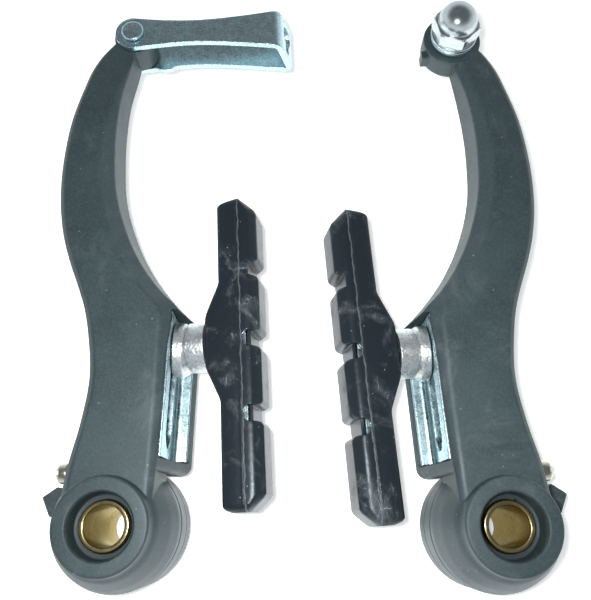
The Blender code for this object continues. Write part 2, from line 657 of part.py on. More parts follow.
def main():
    clear_scene()
    finishes = {
        "black": material("black_nylon", (0.03, 0.035, 0.04), 0.5),
        "rubber": material("black_rubber", (0.02, 0.022, 0.028), 0.55),
        "zinc": material("zinc_plate", (0.55, 0.62, 0.66), 0.35, 1),
        "steel": material("plain_steel", (0.45, 0.47, 0.5), 0.4, 1),
        "brass": material("brass", (0.6, 0.48, 0.22), 0.3, 1),
    }
    left = add_side("left", -STUD_SPACING / 2, LEFT_LEAN, LEFT_CAMBER, finishes)
    right = add_side("right", STUD_SPACING / 2, RIGHT_LEAN, RIGHT_CAMBER, finishes)
    link = empty("link_frame", left, (LINK_TIP[0], 0, LINK_TIP[1]), (0, -LINK_REST, 0))
    add_link(link, left, finishes["zinc"])
    add_anchor(right, finishes["zinc"])


main()
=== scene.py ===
"""Looks for a linear-pull rim brake: moulded nylon arms, rubber pads, zinc-plated hardware and brass bushes.

Shapes are drawn in millimetres in the frame of the piece that they belong to: x points inwards from the
pivot, y to the rear and z up along the arm. A place carries them into the model, and mirrors the right side.
"""

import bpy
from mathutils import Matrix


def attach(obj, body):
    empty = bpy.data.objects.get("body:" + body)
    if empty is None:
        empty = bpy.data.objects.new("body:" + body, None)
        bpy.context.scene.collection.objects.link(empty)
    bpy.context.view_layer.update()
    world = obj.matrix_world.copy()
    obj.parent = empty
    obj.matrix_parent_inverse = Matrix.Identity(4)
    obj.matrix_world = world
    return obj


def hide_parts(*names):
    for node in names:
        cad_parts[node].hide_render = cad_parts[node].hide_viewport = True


bl_info = {
    "name": "Linear-pull rim brake",
    "version": (1, 0, 0),
    "blender": (4, 5, 0),
    "location": "3D View > Sidebar > Brake",
    "description": "Builds the visible pieces of a linear-pull rim brake on its packed frame",
    "category": "Object",
}

from math import cos, pi, radians, sin, tau

import bmesh
import bpy
import numpy as np
from mathutils import Vector

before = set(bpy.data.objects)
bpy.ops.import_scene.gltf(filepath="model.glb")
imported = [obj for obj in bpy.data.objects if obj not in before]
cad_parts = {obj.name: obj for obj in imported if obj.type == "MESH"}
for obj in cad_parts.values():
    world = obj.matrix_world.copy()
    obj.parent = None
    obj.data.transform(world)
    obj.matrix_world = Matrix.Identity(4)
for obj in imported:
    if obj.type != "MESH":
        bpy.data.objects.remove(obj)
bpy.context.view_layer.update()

MM = 0.001
STUD_SPACING = 80.0
SEAT = np.array((8.9, -18.3, 38.0))
LINK_TIP = (-4.6, 0.0, 114.7)
ANCHOR_TIP = (-4.6, 0.0, 114.0)
TOE = radians(-10)
LINK_REST = radians(3.6)
RECESS_RADIUS = 6.4


class Place:
    """A frame that pieces are drawn in: its origin and its three axes in the model, in millimetres."""

    def __init__(self, origin, axes, mirrored=False):
        self.origin = np.array(origin, float)
        self.axes = np.array(axes, float)
        self.mirrored = mirrored

    def out(self, points):
        moved = self.origin + np.asarray(points, float) @ self.axes
        if self.mirrored:
            moved = moved * (-1, 1, 1)
        return moved * MM

    def at(self, origin, lean=0.0, toe=0.0):
        """A further frame inside this one, leant about y and then turned about its own z."""
        turned = turn_axes(lean, toe)
        return Place(self.origin + np.asarray(origin, float) @ self.axes, turned @ self.axes, self.mirrored)


def turn_axes(lean, toe):
    """Rows are the x, y and z axes of a frame leant by one angle about y and toed by another about z."""
    leant = np.array(((cos(lean), 0, -sin(lean)), (0, 1, 0), (sin(lean), 0, cos(lean))))
    toed = np.array(((cos(toe), sin(toe), 0), (-sin(toe), cos(toe), 0), (0, 0, 1)))
    return toed @ leant


class Side:
    """The frames of one half of the brake."""

    def __init__(self, name, lean, camber, mirrored):
        self.name = name
        self.stud = Place((-STUD_SPACING / 2, 0, 0), np.eye(3), mirrored)
        self.arm = self.stud.at((0, 0, 0), lean)
        self.seat = self.arm.at(SEAT)
        self.pad = self.seat.at((0, 0, 0), camber, TOE)
        self.is_link_side = not mirrored


SIDES = (
    Side("left", radians(1.35), radians(-4.3), False),
    Side("right", radians(4.15), radians(0.6), True),
)
LINK_PLACE = SIDES[0].arm.at(LINK_TIP, -LINK_REST)


# Meshes


def grid_faces(rows, columns, wrap):
    """Quads between neighbouring rows and columns, with the last column joined to the first if it wraps."""
    i, j = np.meshgrid(np.arange(rows - 1), np.arange(columns if wrap else columns - 1), indexing="ij")
    k = (j + 1) % columns
    low, high = i * columns, (i + 1) * columns
    return np.stack([low + j, low + k, high + k, high + j], -1).reshape(-1, 4)


def mesh_object(name, grids, place):
    """One mesh from several grids of points, each (points, whether it wraps, whether its ends are capped)."""
    points, faces, start = [], [], 0
    for grid, wrap, capped in grids:
        rows, columns = grid.shape[:2]
        points.append(place.out(grid.reshape(-1, 3)))
        faces += (grid_faces(rows, columns, wrap) + start).tolist()
        if capped:
            faces.append(list(range(start, start + columns)))
            faces.append(list(range(start + (rows - 1) * columns, start + rows * columns)))
        start += rows * columns
    mesh = bpy.data.meshes.new(name)
    mesh.from_pydata(np.concatenate(points).tolist(), [], faces)
    clean(mesh)
    obj = bpy.data.objects.new(name, mesh)
    bpy.context.scene.collection.objects.link(obj)
    return obj


def clean(mesh, merge=2e-6):
    """Merges doubles, drops collapsed faces and turns every face outwards."""
    shape = bmesh.new()
    shape.from_mesh(mesh)
    bmesh.ops.remove_doubles(shape, verts=shape.verts, dist=merge)
    bmesh.ops.dissolve_degenerate(shape, edges=shape.edges, dist=merge)
    bmesh.ops.recalc_face_normals(shape, faces=shape.faces)
    shape.to_mesh(mesh)
    shape.free()


def bake(obj):
    """Applies the object's modifiers to its mesh."""
    graph = bpy.context.evaluated_depsgraph_get()
    finished = obj.evaluated_get(graph)
    mesh = bpy.data.meshes.new_from_object(finished, preserve_all_data_layers=True, depsgraph=graph)
    obj.modifiers.clear()
    obj.data = mesh


def combine(obj, tools, operation):
    """Exact Booleans with each tool in turn, which are then removed."""
    for tool in tools:
        step = obj.modifiers.new(tool.name, "BOOLEAN")
        step.operation = operation
        step.solver = "EXACT"
        step.object = tool
    bake(obj)
    for tool in tools:
        bpy.data.objects.remove(tool)
    if not obj.data.polygons:
        raise RuntimeError(obj.name + " was lost in a Boolean")


def soften(obj, width, segments=2, angle=35):
    """Rounds every edge sharper than the angle."""
    bevel = obj.modifiers.new("rounded edges", "BEVEL")
    bevel.width = width * MM
    bevel.segments = segments
    bevel.limit_method = "ANGLE"
    bevel.angle_limit = radians(angle)
    bevel.miter_outer = "MITER_ARC"
    bake(obj)


def show(obj, finish, body, *nodes, slot=None, angle=40):
    """Shades a finished piece, gives it its finish, ties it to its body and hides the nodes that it stands
    for.

    The slot has the finish's own name unless another is given; it is not used.
    """
    slot = slot or finish
    obj.data.materials.clear()
    obj.data.materials.append(FINISHES[finish])
    obj.data.shade_smooth()
    obj.data.set_sharp_from_angle(angle=radians(angle))
    normals = obj.modifiers.new("face weights", "WEIGHTED_NORMAL")
    normals.keep_sharp = True
    bake(obj)
    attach(obj, body)
    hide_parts(*nodes)


def repaint(node, finish):
    """Gives a carried-over node its detailed material."""
    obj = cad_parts[node]
    obj.data.materials.clear()
    obj.data.materials.append(FINISHES[finish])


# Outlines and profiles


def rounded(corners, cuts, steps=4, is_closed=True):
    """Replaces each corner by a parabola that starts and ends at the given distance along its two sides."""
    corners = np.asarray(corners, float)
    cuts = np.broadcast_to(np.asarray(cuts, float), corners.shape[:-1])
    if not is_closed:
        cuts = cuts * np.r_[0, np.ones(corners.shape[-2] - 2), 0]
    to_before = np.roll(corners, 1, axis=-2) - corners
    to_after = np.roll(corners, -1, axis=-2) - corners
    ends = []
    for side in (to_before, to_after):
        length = np.maximum(np.linalg.norm(side, axis=-1), 1e-9)
        ends.append(corners + side * (np.minimum(cuts, 0.45 * length) / length)[..., None])
    t = np.linspace(0, 1, steps + 1)[:, None]
    start, corner, end = (part[..., None, :] for part in (ends[0], corners, ends[1]))
    points = (1 - t) ** 2 * start + 2 * t * (1 - t) * corner + t**2 * end
    return points.reshape(*corners.shape[:-2], -1, 2)


def curve_through(x, y, at):
    """A cubic between each two neighbouring points, whose slopes are the mean of the chords beside them."""
    x, y = np.asarray(x, float), np.asarray(y, float)
    slopes = np.gradient(y, x)
    i = np.clip(np.searchsorted(x, at, side="right") - 1, 0, len(x) - 2)
    span = x[i + 1] - x[i]
    t = (at - x[i]) / span
    return (
        (2 * t**3 - 3 * t**2 + 1) * y[i] + (t**3 - 2 * t**2 + t) * span * slopes[i]
        + (3 * t**2 - 2 * t**3) * y[i + 1] + (t**3 - t**2) * span * slopes[i + 1]
    )


def lathe(profile, axis, centre=(0, 0, 0), steps=72, apothem=None, phase=0.0):
    """Each profile point (radius, distance along the axis) goes round the axis in a circle.

    Where the apothem is finite, the radius is the lesser of the circle's and a hexagon's, which is the
    apothem over the cosine of the angle from the middle of the nearest side.
    """
    profile = np.asarray(profile, float)
    turn = np.linspace(0, tau, steps, endpoint=False)
    radius = np.repeat(profile[:, :1], steps, axis=1)
    if apothem is not None:
        from_side = (turn - phase + pi / 6) % (pi / 3) - pi / 6
        radius = np.minimum(radius, np.asarray(apothem, float)[:, None] / np.cos(from_side))
    along = np.repeat(profile[:, 1:], steps, axis=1)
    first, second = radius * np.cos(turn), radius * np.sin(turn)
    order = {"X": (along, first, second), "Y": (first, along, second)}[axis]
    return np.stack(order, -1) + np.asarray(centre, float)


def turned(name, profile, axis, place, centre=(0, 0, 0), cut=0.3, steps=72):
    """A solid turned from a profile that starts and ends on the axis, with rounded corners."""
    points = rounded(profile, cut, 3, is_closed=False)
    return mesh_object(name, [(lathe(points, axis, centre, steps), True, False)], place)


def turned_ring(name, profile, axis, place, centre=(0, 0, 0), cut=0.3, steps=72):
    """A ring turned from a closed profile, with rounded corners."""
    points = rounded(profile, cut, 3)
    points = np.concatenate([points, points[:1]])
    return mesh_object(name, [(lathe(points, axis, centre, steps), True, False)], place)


def plain_rod(name, radius, low, high, axis, place, centre=(0, 0, 0), steps=48):
    profile = [(0, low), (radius, low), (radius, high), (0, high)]
    return mesh_object(name, [(lathe(profile, axis, centre, steps), True, False)], place)


def prism(name, outline, plane, low, high, place):
    """A flat outline carried straight along the third axis."""
    outline = np.asarray(outline, float)
    rows = []
    for level in (low, high):
        along = np.full(len(outline), float(level))
        first, second = outline.T
        order = {"YZ": (along, first, second), "XZ": (first, along, second)}[plane]
        rows.append(np.stack(order, -1))
    return mesh_object(name, [(np.array(rows), True, True)], place)


def rectangle(low_y, high_y, low_z, high_z):
    return [(low_y, low_z), (high_y, low_z), (high_y, high_z), (low_y, high_z)]


def block(name, x, y, z, place, corner=0.0):
    """A block whose outline across its first axis has rounded corners."""
    outline = rectangle(*y, *z)
    if corner:
        outline = rounded(outline, corner, 5)
    return prism(name, outline, "YZ", *x, place)


def stadium(width, low, high, across, steps=14):
    """Two half circles joined by straight sides."""
    radius = width / 2
    turn = np.linspace(0, pi, steps)
    upper = np.stack([across + radius * np.cos(turn), high - radius + radius * np.sin(turn)], -1)
    lower = np.stack([across - radius * np.cos(turn), low + radius - radius * np.sin(turn)], -1)
    return np.concatenate([upper, lower])


# Node groups and materials


class Nodes:
    """A node tree that is filled one node at a time."""

    def __init__(self, tree):
        self.tree = tree

    def add(self, kind, inputs=None, **settings):
        node = self.tree.nodes.new("ShaderNode" + kind)
        for name, value in settings.items():
            setattr(node, name, value)
        self.fill(node, inputs or {})
        return node

    def fill(self, node, inputs):
        """Links each named input to another node's output, or sets its constant."""
        for name, value in inputs.items():
            if isinstance(value, bpy.types.NodeSocket):
                self.tree.links.new(value, node.inputs[name])
            else:
                node.inputs[name].default_value = value

    def maths(self, operation, *values):
        node = self.add("Math", dict(enumerate(values)), operation=operation)
        return node.outputs[0]

    def steps(self, value, low, high, out_low=0.0, out_high=1.0):
        """A smooth change from one value to the other between two limits."""
        inputs = {"Value": value, "From Min": low, "From Max": high, "To Min": out_low, "To Max": out_high}
        return self.add("MapRange", inputs, interpolation_type="SMOOTHSTEP").outputs[0]

    def mix(self, amount, first, second):
        """A colour between two: inputs 0, 6 and 7 are the colour mixer's factor and its two colours."""
        return self.add("Mix", {0: amount, 6: first, 7: second}, data_type="RGBA").outputs[2]

    def group(self, name, **inputs):
        named = {socket.replace("_", " "): value for socket, value in inputs.items()}
        return self.add("Group", named, node_tree=bpy.data.node_groups[name]).outputs


def new_group(name, inputs, outputs):
    """A shader node group with the given sockets, each (name, type, default)."""
    tree = bpy.data.node_groups.new(name, "ShaderNodeTree")
    for socket, kind, default in inputs:
        made = tree.interface.new_socket(socket, in_out="INPUT", socket_type="NodeSocket" + kind)
        if default is not None:
            made.default_value = default
    for socket, kind in outputs:
        tree.interface.new_socket(socket, in_out="OUTPUT", socket_type="NodeSocket" + kind)
    nodes = Nodes(tree)
    taken = tree.nodes.new("NodeGroupInput").outputs
    given = tree.nodes.new("NodeGroupOutput")
    place = nodes.add("TexCoord").outputs["Object"]
    return nodes, taken, given, place


def build_grain():
    """Moulded or blasted grain: two sizes of noise, as a height mask and as a bumped normal."""
    nodes, taken, given, place = new_group(
        "grain", [("Size", "Float", 0.0004), ("Depth", "Float", 0.00002), ("Normal", "Vector", None)],
        [("Normal", "Vector"), ("Height", "Float")])
    scale = nodes.maths("DIVIDE", 1.0, taken["Size"])
    fine = nodes.add("TexNoise", {"Vector": place, "Scale": scale, "Detail": 2.0, "Roughness": 0.6})
    cells = nodes.add("TexVoronoi", {"Vector": place, "Scale": nodes.maths("MULTIPLY", scale, 0.55)})
    height = nodes.maths("ADD", fine.outputs["Fac"], nodes.maths("MULTIPLY", cells.outputs["Distance"], 0.5))
    bump = nodes.add("Bump", {"Height": height, "Distance": taken["Depth"], "Normal": taken["Normal"]})
    nodes.fill(given, {"Normal": bump.outputs[0], "Height": height})


def build_speckle():
    """Plated crystals: a random value for each small cell, and broad cloudy patches."""
    nodes, taken, given, place = new_group("speckle", [("Size", "Float", 0.0006)],
                                           [("Cells", "Float"), ("Clouds", "Float")])
    scale = nodes.maths("DIVIDE", 1.0, taken["Size"])
    cells = nodes.add("TexVoronoi", {"Vector": place, "Scale": scale})
    value = nodes.add("SeparateColor", {"Color": cells.outputs["Color"]})
    broad = nodes.maths("MULTIPLY", scale, 0.12)
    clouds = nodes.add("TexNoise", {"Vector": place, "Scale": broad, "Detail": 5.0, "Roughness": 0.65})
    nodes.fill(given, {"Cells": value.outputs[0], "Clouds": clouds.outputs["Fac"]})


def build_dust():
    """Dust: sparse specks, smudges with soft edges, and thin scratches, each as a mask."""
    nodes, taken, given, place = new_group(
        "dust", [("Speck Size", "Float", 0.0009), ("Smudge Size", "Float", 0.012)],
        [("Specks", "Float"), ("Smudges", "Float"), ("Scratches", "Float")])
    speck_scale = nodes.maths("DIVIDE", 1.0, taken["Speck Size"])
    cells = nodes.add("TexVoronoi", {"Vector": place, "Scale": speck_scale})
    chosen = nodes.add("SeparateColor", {"Color": cells.outputs["Color"]})
    size = nodes.steps(chosen.outputs[0], 0.93, 1.0, 0.0, 0.16)
    specks = nodes.maths("LESS_THAN", cells.outputs["Distance"], size)
    smudge_scale = nodes.maths("DIVIDE", 1.0, taken["Smudge Size"])
    smudge = nodes.add("TexNoise", {
        "Vector": place, "Scale": smudge_scale, "Detail": 7.0, "Roughness": 0.7, "Distortion": 0.6})
    smudges = nodes.steps(smudge.outputs["Fac"], 0.5, 0.72)
    marks = None
    for angle, stretch in ((0.5, (130, 2600, 500)), (-0.9, (2200, 90, 420))):
        across = nodes.add("Mapping", {"Vector": place, "Rotation": (0.3, angle, 0.2), "Scale": stretch})
        line = nodes.add("TexNoise", {"Vector": across.outputs[0], "Scale": 0.5, "Detail": 1.0})
        near = nodes.maths("ABSOLUTE", nodes.maths("SUBTRACT", line.outputs["Fac"], 0.5))
        thin = nodes.steps(near, 0.0, 0.012, 1.0, 0.0)
        marks = thin if marks is None else nodes.maths("MAXIMUM", marks, thin)
    patchy = nodes.steps(smudge.outputs["Fac"], 0.52, 0.66)
    scratches = nodes.maths("MULTIPLY", marks, patchy)
    nodes.fill(given, {"Specks": specks, "Smudges": smudges, "Scratches": scratches})


def new_material(name):
    made = bpy.data.materials.new(name)
    made.use_nodes = True
    return made, Nodes(made.node_tree), made.node_tree.nodes["Principled BSDF"]


def rounded_normal(nodes, radius):
    """Normals that run smoothly over each edge, as over a small moulding radius."""
    return nodes.add("Bevel", {"Radius": radius * MM}, samples=6).outputs[0]


def scaled(colour, factor):
    return (*(min(1.0, channel * factor) for channel in colour[:3]), 1)


def recess_painted_shade(nodes):
    """Mask of painted shade on the floor of the recess round each pivot: 1 inside its wall, 0 outside."""
    place = nodes.add("SeparateXYZ", {0: nodes.add("TexCoord").outputs["Object"]}).outputs
    across = nodes.maths("SUBTRACT", nodes.maths("ABSOLUTE", place[0]), STUD_SPACING / 2 * MM)
    across = nodes.maths("MULTIPLY", across, across)
    radius = nodes.maths("SQRT", nodes.maths("MULTIPLY_ADD", place[2], place[2], across))
    return nodes.steps(radius, (RECESS_RADIUS - 0.4) * MM, RECESS_RADIUS * MM, 0.85, 0.0)


def nylon_material(finishes):
    """Glass-filled nylon: fine grain, faint cloudiness, pale dust in the grain, and painted shade in the
    recess round each pivot.
    """
    made, nodes, shader = new_material("black_nylon")
    dust = nodes.group("dust", Speck_Size=0.0011, Smudge_Size=0.016)
    grain = nodes.group("grain", Size=0.00024, Depth=0.000016, Normal=rounded_normal(nodes, 0.35))
    cloud = nodes.group("speckle", Size=0.0012)
    cloudy = nodes.steps(cloud["Clouds"], 0.3, 0.7)
    colour = nodes.mix(cloudy, scaled(finishes.nylon, 0.86), scaled(finishes.nylon, 1.2))
    lights = nodes.steps(grain["Height"], 0.62, 0.95, 0.0, 0.5)
    colour = nodes.mix(lights, colour, scaled(finishes.nylon, 2.0))
    colour = nodes.mix(nodes.maths("MULTIPLY", dust["Smudges"], 0.22), colour, scaled(finishes.dust, 0.5))
    colour = nodes.mix(nodes.maths("MULTIPLY", dust["Specks"], 0.35), colour, scaled(finishes.dust, 1.0))
    # painted shade: nylon inside the recess wall round each pivot is darkened to a quarter of its colour
    colour = nodes.mix(recess_painted_shade(nodes), colour, scaled(finishes.nylon, 0.25))
    rough = nodes.steps(cloud["Clouds"], 0.2, 0.8, 0.44, 0.56)
    nodes.fill(shader, {"Base Color": colour, "Roughness": rough, "Normal": grain["Normal"],
                        "Specular IOR Level": 0.8, "Specular Tint": (0.85, 0.96, 1.0, 1)})
    return made


def rubber_material(name, finishes, chalk):
    """Brake rubber: nearly black and faintly glossy, with chalky smudges, specks and scratches."""
    made, nodes, shader = new_material(name)
    dust = nodes.group("dust", Speck_Size=0.0007, Smudge_Size=0.011)
    grain = nodes.group("grain", Size=0.0009, Depth=0.00003, Normal=rounded_normal(nodes, 0.4))
    base = nodes.mix(chalk, scaled(finishes.rubber, 1.0), scaled(finishes.dust, 0.4))
    colour = nodes.mix(nodes.maths("MULTIPLY", dust["Smudges"], 0.3), base, scaled(finishes.dust, 0.45))
    colour = nodes.mix(nodes.maths("MULTIPLY", dust["Scratches"], 0.55), colour, scaled(finishes.dust, 0.8))
    colour = nodes.mix(nodes.maths("MULTIPLY", dust["Specks"], 0.8), colour, scaled(finishes.dust, 0.9))
    rough = nodes.steps(dust["Smudges"], 0.0, 1.0, 0.33, 0.6)
    nodes.fill(shader, {"Base Color": colour, "Roughness": rough, "Normal": grain["Normal"],
                        "Specular IOR Level": 0.6, "Specular Tint": (0.8, 0.93, 1.0, 1)})
    return made


def plated_material(name, colour, size, depth, roughness, contrast, cloud=0.3, grazing=(1, 1, 1)):
    """Plated metal: cells of slightly different brightness over a bumped surface, with cloudy patches."""
    made, nodes, shader = new_material(name)
    speckle = nodes.group("speckle", Size=size)
    grain = nodes.group("grain", Size=size * 1.3, Depth=depth, Normal=rounded_normal(nodes, 0.25))
    mixed = nodes.mix(speckle["Cells"], scaled(colour, 1 - contrast), scaled(colour, 1 + contrast))
    patches = nodes.steps(speckle["Clouds"], 0.35, 0.7, 0.0, cloud)
    mixed = nodes.mix(patches, mixed, scaled(colour, 1 - 1.6 * contrast))
    rough = nodes.steps(speckle["Clouds"], 0.25, 0.75, roughness * 0.75, roughness * 1.3)
    nodes.fill(shader, {"Base Color": mixed, "Roughness": rough, "Normal": grain["Normal"],
                        "Metallic": 1.0, "Specular Tint": (*grazing, 1)})
    return made


def build_finishes(finishes):
    """Every finish by name: that of its slot in the record, or worn_rubber for the pads' mould lines."""
    build_grain()
    build_speckle()
    build_dust()
    plated = {
        "zinc_plate": (finishes.zinc, 0.00022, 0.000006, 0.3, 0.3, 0.06),
        "rough_zinc": (finishes.rough, 0.00038, 0.00009, 0.4, 0.2),
        "bright_nut": (finishes.nickel, 0.0012, 0.000006, 0.21, 0.08),
        "nickel_screw": (finishes.screw, 0.0006, 0.000005, 0.25, 0.1),
        "spring_steel": (finishes.steel, 0.0008, 0.00001, 0.35, 0.12),
        "brass_bush": (finishes.brass, 0.0009, 0.000006, 0.24, 0.1, 0.3, (0.62, 0.56, 0.4)),
    }
    made = {name: plated_material(name, *values) for name, values in plated.items()}
    made["black_nylon"] = nylon_material(finishes)
    for name, chalk in (("black_rubber", 0.0), ("worn_rubber", 0.42)):
        made[name] = rubber_material(name, finishes, chalk)
    return made


FINISHES = {}


# Settings


def length_setting(name, description, default, low, high):
    """A length given in millimetres and kept in metres."""
    return bpy.props.FloatProperty(name=name, description=description, default=default * MM, min=low * MM,
                                   max=high * MM, unit="LENGTH", precision=5)


def colour_setting(name, description, default):
    return bpy.props.FloatVectorProperty(name=name, description=description, subtype="COLOR", default=default,
                                         min=0, max=1)


def power_setting(name, description, default):
    return bpy.props.FloatProperty(name=name, description=description, default=default, min=0, unit="POWER")


class BrakeShape(bpy.types.PropertyGroup):
    """Sizes of the mouldings that can be changed without touching the frame."""

    edge: length_setting("Moulding edge", "Radius on the arms' long edges", 0.45, 0.1, 1)
    crease: length_setting("Front crease", "Radius between the front and the chamfer", 0.8, 0.1, 2)
    foot: length_setting("Flange foot", "Radius on the lower end of the rear flange", 2.4, 0.5, 2.5)
    ridge: length_setting("Parting ridge", "Height of the mould line on the pads", 0.16, 0, 0.4)


class BrakeFinish(bpy.types.PropertyGroup):
    """Colours of the finishes and of the dust on them."""

    nylon: colour_setting("Nylon", "Moulded arms and spring housings", (0.017, 0.0275, 0.030))
    rubber: colour_setting("Rubber", "Brake pads", (0.007, 0.010, 0.014))
    zinc: colour_setting("Zinc", "Link, plates, pad studs and nuts, bolt and its washer", (0.54, 0.72, 0.79))
    rough: colour_setting("Rough zinc", "Sleeves and domed washers behind the pads", (0.8, 0.86, 0.88))
    nickel: colour_setting("Nickel", "Acorn nut", (0.58, 0.65, 0.67))
    screw: colour_setting("Screw", "Tension screws", (0.62, 0.6, 0.5))
    steel: colour_setting("Spring steel", "Springs and locating pins", (0.33, 0.35, 0.37))
    brass: colour_setting("Brass", "Pivot bushes", (0.4, 0.33, 0.17))
    dust: colour_setting("Dust", "Dust, smudges and scuffs", (0.34, 0.38, 0.4))


class BrakeStage(bpy.types.PropertyGroup):
    """Light and surroundings."""

    key: power_setting("Key light", "Power of the main light", 0.28)
    glint: power_setting("Glint", "Power of the light that metal mirrors", 0.2)
    fill: power_setting("Fill light", "Power of the side light", 0.1)
    sky: bpy.props.FloatProperty(name="Surroundings", description="Brightness all round", default=0.9, min=0)
    dark: bpy.props.FloatProperty(name="Dark side", description="Share of that brightness in front",
                                  default=0.19, min=0, max=1, subtype="FACTOR")
    paper: colour_setting("Backdrop", "Card behind the brake", (0.93, 0.95, 0.95))


# Pieces

# Across the arm at each height: outer edge, crease, inner edge, rear inner edge, depth of the rear
ARM_HEIGHTS = (3, 11, 20, 30, 38, 45.8, 50, 55, 60, 66, 74, 83, 92, 100, 106, 110, 113.6)
ARM_OUTER = (-9.6, -8.9, -7.3, -6.5, -7.6, -9.6, -11.3, -13.5, -15.4, -17.0, -18.1, -18.3, -17.6, -15.9,
             -14.2, -12.2, -9.55)
ARM_CREASE = (8.0, 8.0, 8.0, 7.9, 7.6, 6.6, 2.6, -1.5, -4.2, -6.6, -8.9, -9.8, -9.5, -8.0, -6.6, -5.4, -4.9)
ARM_INNER = (9.0, 9.2, 9.3, 9.3, 9.4, 10.8, 6.6, 2.6, -0.4, -3.1, -5.6, -6.8, -7.0, -6.1, -4.7, -3.9, -3.5)
LINK_CREASE_SHIFT = ((3, 83, 92, 100, 106, 113.6), (0, 0, 0.2, 0.8, 1.7, 1.2))
FLANGE_TOP = 45.8
UPPER_REAR_INNER = (13.6, 8.8, 4.2, 0.9, -1.9, -4.5, -5.8, -6.1, -5.4, -4.2, -3.6, -3.3)
UPPER_REAR = (-8.5, -10.5, -13.4, -15.6, -17.2, -18.0, -18.0, -18.0, -18.0, -18.0, -18.0, -18.0)
ARM_FRONT = -28.0


def arm_surface(shape, is_link_side):
    """The arm's sections, one above the other: seven corners each, joined by small radii.

    Each corner's path is a cubic through its own heights. Below the flange's top the rear inner corner
    stays at the flange's edge, and it ends at the foot in a quarter circle.
    """
    z = np.concatenate([np.linspace(3, 10.9, 5), np.linspace(11, 13.5, 12), np.linspace(14.5, 45.4, 30),
                        np.linspace(45.8, 50, 9), np.linspace(51, 113.6, 63)])
    outer, crease, inner = (curve_through(ARM_HEIGHTS, row, z) for row in (ARM_OUTER, ARM_CREASE, ARM_INNER))
    upper = np.array(ARM_HEIGHTS[5:])
    foot = shape.foot / MM
    above_foot = np.clip(11 + foot - z, 0, foot)
    flange = 13.9 - foot + np.sqrt(foot**2 - above_foot**2)
    rear_inner = np.where(z > FLANGE_TOP, curve_through(upper, UPPER_REAR_INNER, z), flange)
    rear_inner = np.where(z < 11, 9.5, rear_inner)
    rear = np.where(z > FLANGE_TOP, curve_through(upper, UPPER_REAR, z), -8.5)
    rear = np.where(z < 11, -15.0, np.minimum(rear, -8.5))
    thinner = (0, 0.9, 2.3, 2.9, 3.2, 3.4) if is_link_side else (0, 0.6, 2.0, 4.1, 4.75, 4.9)
    rear = rear - np.where(z > 83, curve_through((83, 92, 100, 106, 110, 113.6), thinner, z), 0)
    if is_link_side:
        crease = crease + np.interp(z, *LINK_CREASE_SHIFT)
    chamfer = np.minimum(2.6, 0.8 * (inner - crease))
    front = np.full_like(z, ARM_FRONT)
    bevel = 1.3
    corners = np.stack([
        np.stack([outer + bevel, front], -1), np.stack([crease, front], -1),
        np.stack([inner, front + chamfer], -1), np.stack([rear_inner, rear], -1),
        np.stack([outer + bevel / 2, rear], -1), np.stack([outer, rear - bevel / 2], -1),
        np.stack([outer, front + bevel], -1),
    ], axis=1)
    edge, soft = shape.edge / MM, shape.crease / MM
    section = rounded(corners, (edge, soft, edge, edge, edge, edge, edge), 4)
    height = np.repeat(z[:, None, None], section.shape[1], axis=1)
    return np.concatenate([section, height], -1)


def make_arm(side, shape):
    """The arm blank joined to its boss and its round tip, and cut for everything that sits in it."""
    place = side.arm
    arm = mesh_object(side.name + "_arm_body", [(arm_surface(shape, side.is_link_side), True, True)], place)
    boss = turned("boss", [(0, -31), (9.6, -31), (9.6, -28.2), (10.6, -26.8), (12.4, -21.8), (13.4, -17.3),
                           (13.4, -14.3), (0, -14.3)], "Y", place, cut=0.8, steps=96)
    tip_radius, tip_rear, centre = (4.9, -21, LINK_TIP) if side.is_link_side else (7, -22.5, ANCHOR_TIP)
    tip = turned("tip", [(0, -28.02), (tip_radius, -28.02), (tip_radius, tip_rear), (0, tip_rear)], "Y",
                 place, centre, 0.5, 64)
    joined = [boss, tip]
    if not side.is_link_side:
        x, z = centre[0], centre[2]
        lug = block("lug", (x + 4, x + 7.6), (-26.6, -23), (z - 3.8, z - 1.6), place, 0.4)
        joined.append(lug)
    combine(arm, joined, "UNION")
    tools = [
        turned("recess", [(0, -33), (RECESS_RADIUS + 2.4, -33), (RECESS_RADIUS, -30.6),
                          (RECESS_RADIUS, -25.8), (0, -25.8)], "Y", place, cut=0.5, steps=96),
        plain_rod("bush bore", 5.2, -27, 1, "Y", place, steps=64),
        turned_ring("spring room", [(11.6, 0), (11.6, -23), (6.8, -23), (6.8, 0)], "Y", place, cut=0.4,
                    steps=64),
        turned_ring("cover room", [(13.7, 1), (13.7, -14.3), (3.1, -14.3), (3.1, 1)], "Y", place, cut=0.1,
                    steps=96),
        block("plate room", (7.7, 20), (-26.3, -10.3), (13.6, 45.6), place, 0.9),
        block("nut pocket", (-20, 5.8), (-25.6, -10.4), (12.5, 46), place, 1.6),
        prism("web slot", stadium(8.2, 15.6, 43.2, SEAT[1]), "YZ", 4.8, 9, place),
        plain_rod("screw hole", 1.7, -20, -4, "X", place, (0, -16.6, 10.6), 32),
        turned("dimple", [(0, -29), (0.45, -29), (0.45, -28), (0, -27.6)], "Y", place, (-4.2, 0, 48.6), 0.1,
               20),
    ]
    if side.is_link_side:
        tools.append(plain_rod("link relief", 11.5, -21, 1, "Y", place, centre))
        tools.append(plain_rod("rivet hole", 2.2, -40, 1, "Y", place, centre, 32))
    else:
        tools.append(plain_rod("bolt hole", 3.1, -40, 1, "Y", place, centre, 32))
    combine(arm, tools, "DIFFERENCE")
    clean(arm.data)
    return arm


class BRAKE_OT_arms(bpy.types.Operator):
    """Builds the two moulded arms"""

    bl_idname = "brake.arms"
    bl_label = "Arms"

    def execute(self, context):
        for side in SIDES:
            arm = make_arm(side, context.scene.brake_shape)
            show(arm, "black_nylon", side.name + "_arm", side.name + "_arm", angle=28)
        return {"FINISHED"}


